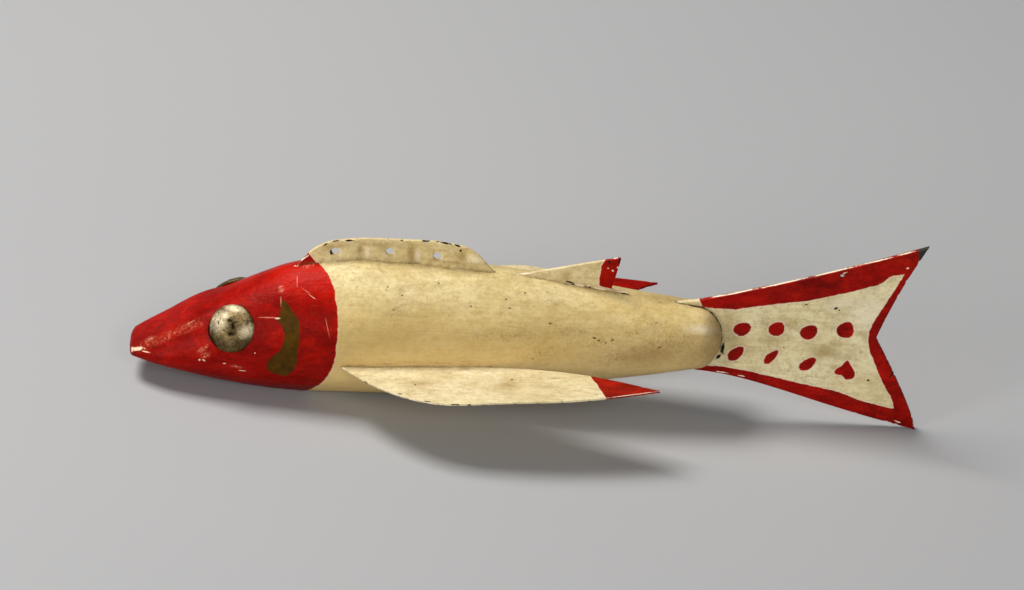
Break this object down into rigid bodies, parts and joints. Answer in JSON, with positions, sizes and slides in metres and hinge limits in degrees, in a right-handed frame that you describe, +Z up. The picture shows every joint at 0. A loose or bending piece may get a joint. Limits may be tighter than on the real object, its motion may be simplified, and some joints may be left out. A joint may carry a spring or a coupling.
{
  "type": "fish decoy",
  "caption": "Carved and painted wooden fish decoy with flat sheet-metal fins and tail, domed tack eyes and a pierced back fin that the line is tied to.",
  "frame": {"origin": "centre of the bounding box on the table plane that the fish rests on", "axes": "+X from the nose towards the tail, +Z up, -Y out of the fish's own left side; the fish lies nose down by about 4 degrees on its belly flat and the lower tip of its tail"},
  "size_m": [0.1764, 0.0608, 0.0468],
  "materials": {
    "painted_wood": "aged cream oil paint over carved softwood, with a red head and a small olive gill mark",
    "painted_fin": "aged cream oil paint with red ends, chipped at the edges",
    "painted_tail": "red border round a cream field with red dots",
    "tack": "worn and tarnished"
  },
  "bodies": {
    "root": {"body": "painted_wood", "tail": "painted_tail", "line_tie_fin": "painted_fin", "rear_dorsal_fin": "painted_fin", "left_side_fin": "painted_fin", "right_side_fin": "painted_fin", "left_eye": "tack", "right_eye": "tack"}
  },
  "joints": []
}
